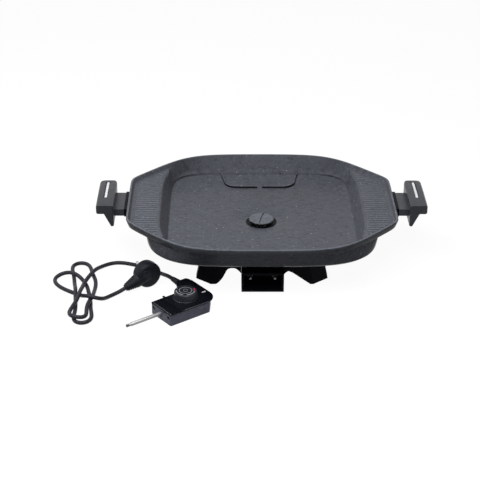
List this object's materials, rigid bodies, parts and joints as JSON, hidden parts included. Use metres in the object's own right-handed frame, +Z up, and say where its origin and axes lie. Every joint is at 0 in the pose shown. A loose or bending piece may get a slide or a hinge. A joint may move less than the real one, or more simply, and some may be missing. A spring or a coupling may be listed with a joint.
{
  "type": "electric grill",
  "caption": "Shallow electric grill pan with ribbed wings, side handles, a drain cap and a moulded base, beside its plug-in thermostat probe control, lead and plug.",
  "frame": {"origin": "on the table, in the middle of the rectangle that the grill and its control cover, without the lead and the plug", "axes": "+X from the left handle to the right handle, +Y from the front with the inlet to the back, +Z up"},
  "size_m": [0.6018, 0.4544, 0.107],
  "materials": {
    "pan_coating": "satin non-stick with fine flecks",
    "cast_aluminium": "as cast",
    "sheath_steel": "dull sheath",
    "ceramic": "unglazed",
    "contact_metal": "plated",
    "screw_steel": "zinc plated",
    "base_plastic": "moulded, satin",
    "handle_plastic": "moulded, satin",
    "trim_metal": "bright",
    "control_grey": "moulded, satin",
    "control_black": "polished",
    "probe_steel": "bright",
    "contact_brass": "drawn",
    "switch_plastic": "moulded",
    "wire_cover": "smooth",
    "lens_plastic": "clear white",
    "knob_plastic": "polished",
    "dial_metal": "spun",
    "lead_rubber": "smooth",
    "plug_rubber": "satin"
  },
  "bodies": {
    "grill": {"pan": "pan_coating", "heater_plate": "cast_aluminium", "heating_element": "sheath_steel", "terminal_insulators": "ceramic", "terminal_pins": "contact_metal", "probe_well": "cast_aluminium", "plate_screws": "screw_steel", "drain_sleeve": "cast_aluminium", "base_frame": "base_plastic", "base_screws": "screw_steel", "inlet_shroud": "base_plastic", "shroud_screws": "screw_steel", "handle_left": "handle_plastic", "handle_right": "handle_plastic", "handle_guard_left": "base_plastic", "handle_guard_right": "base_plastic", "handle_trim_left": "trim_metal", "handle_trim_right": "trim_metal", "handle_screws_left": "screw_steel", "handle_screws_right": "screw_steel"},
    "drain": {"drain_cap": "pan_coating", "drain_clip": "screw_steel"},
    "control_set": {"controller_base": "control_grey", "controller_cover": "control_black", "controller_screws": "screw_steel", "probe": "probe_steel", "contact_sleeves": "contact_brass", "thermostat_switch": "switch_plastic", "controller_wires": "wire_cover", "pilot_lens": "lens_plastic", "cord_gland": "lead_rubber", "power_cord": "lead_rubber", "plug_body": "plug_rubber", "plug_pins": "contact_metal", "plug_earth_clips": "contact_metal", "plug_strain_relief": "plug_rubber"},
    "dial": {"knob_shaft": "screw_steel", "knob": "knob_plastic", "dial_plate": "dial_metal"}
  },
  "joints": [
    {"name": "drain_turn", "type": "hinge", "parent": "grill", "child": "drain", "pos_m": [0, 0.02221, 0.06], "axis": [0, 0, 1], "range_deg": [0, 90]},
    {"name": "control_slide", "type": "slide", "parent": "grill", "child": "control_set", "axis": [0, -1, 0], "range_m": [0, 0.15]},
    {"name": "dial_turn", "type": "hinge", "parent": "control_set", "child": "dial", "pos_m": [-0.12029, -0.15011, 0.024], "axis": [0, 0, 1], "range_deg": [-250, 0]}
  ]
}
